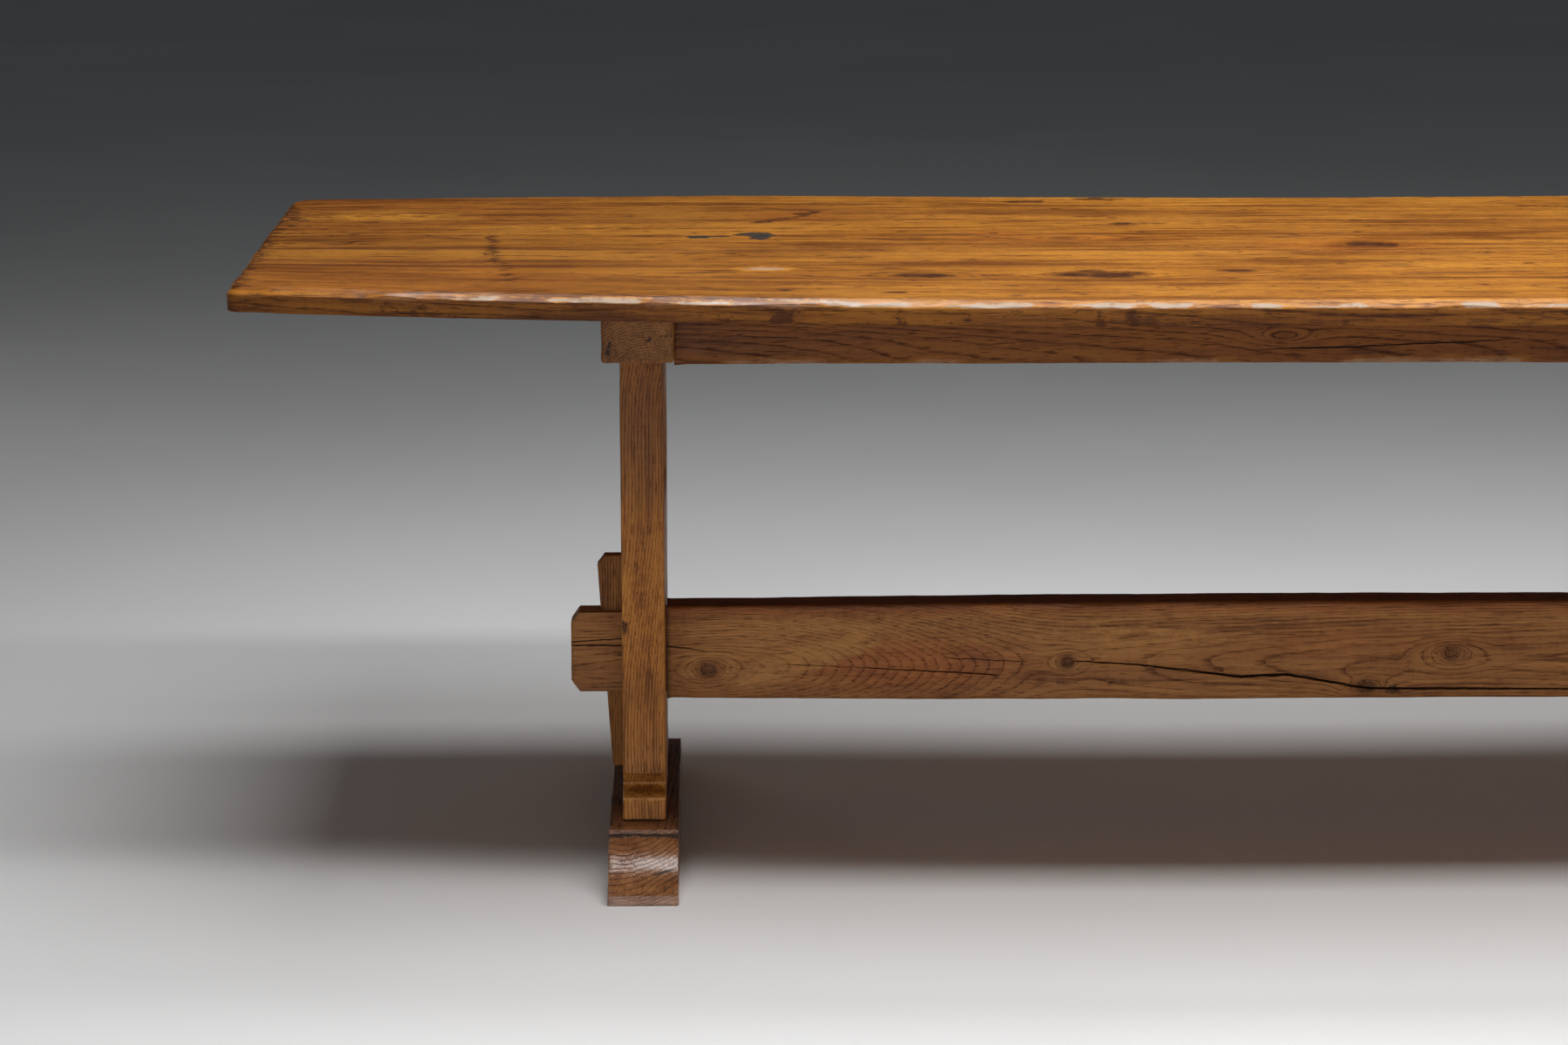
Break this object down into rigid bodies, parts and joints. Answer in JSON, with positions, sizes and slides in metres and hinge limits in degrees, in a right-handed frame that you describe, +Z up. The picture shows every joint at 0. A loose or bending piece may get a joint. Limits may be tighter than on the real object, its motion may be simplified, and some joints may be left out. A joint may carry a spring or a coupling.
{
  "type": "trestle dining table",
  "caption": "Long solid-oak dining table on two plank trestles tied by a low stretcher, whose through tenons are locked by tapered wedges that lift out.",
  "frame": {"origin": "middle of the table's footprint on the floor: bottom centre of the bounding box", "axes": "+X along the table towards its right end, +Y towards the straight rear edge, +Z up"},
  "size_m": [2.612, 0.9233, 0.75],
  "materials": {
    "top_oak": "honey-coloured oak, waxed to a satin sheen",
    "rail_oak": "dark stained oak, waxed",
    "bearer_oak": "stained oak with worn arrises, waxed",
    "upright_oak": "stained oak, waxed to a satin sheen",
    "foot_oak": "stained oak, glossy on the end grain",
    "stretcher_oak": "stained oak with drying cracks, waxed",
    "wedge_oak": "stained oak, waxed",
    "peg_oak": "oak peg, cut flush",
    "screw_steel": "dulled steel wood screw"
  },
  "bodies": {
    "table": {"top_board_front": "top_oak", "top_board_middle": "top_oak", "top_board_rear": "top_oak", "top_board_dowels": "peg_oak", "front_rail": "rail_oak", "rear_rail": "rail_oak", "rail_pegs": "peg_oak", "stretcher": "stretcher_oak", "left_bearer": "bearer_oak", "right_bearer": "bearer_oak", "left_bearer_screws": "screw_steel", "right_bearer_screws": "screw_steel", "left_bearer_pegs": "peg_oak", "right_bearer_pegs": "peg_oak", "left_upright": "upright_oak", "right_upright": "upright_oak", "left_foot_pegs": "peg_oak", "right_foot_pegs": "peg_oak", "left_foot": "foot_oak", "right_foot": "foot_oak"},
    "left_wedge": {"left_wedge": "wedge_oak"},
    "right_wedge": {"right_wedge": "wedge_oak"}
  },
  "joints": [
    {"name": "left_wedge_lift", "type": "slide", "parent": "table", "child": "left_wedge", "axis": [0, 0, 1], "range_m": [0, 0.205]},
    {"name": "right_wedge_lift", "type": "slide", "parent": "table", "child": "right_wedge", "axis": [0, 0, 1], "range_m": [0, 0.205]}
  ]
}
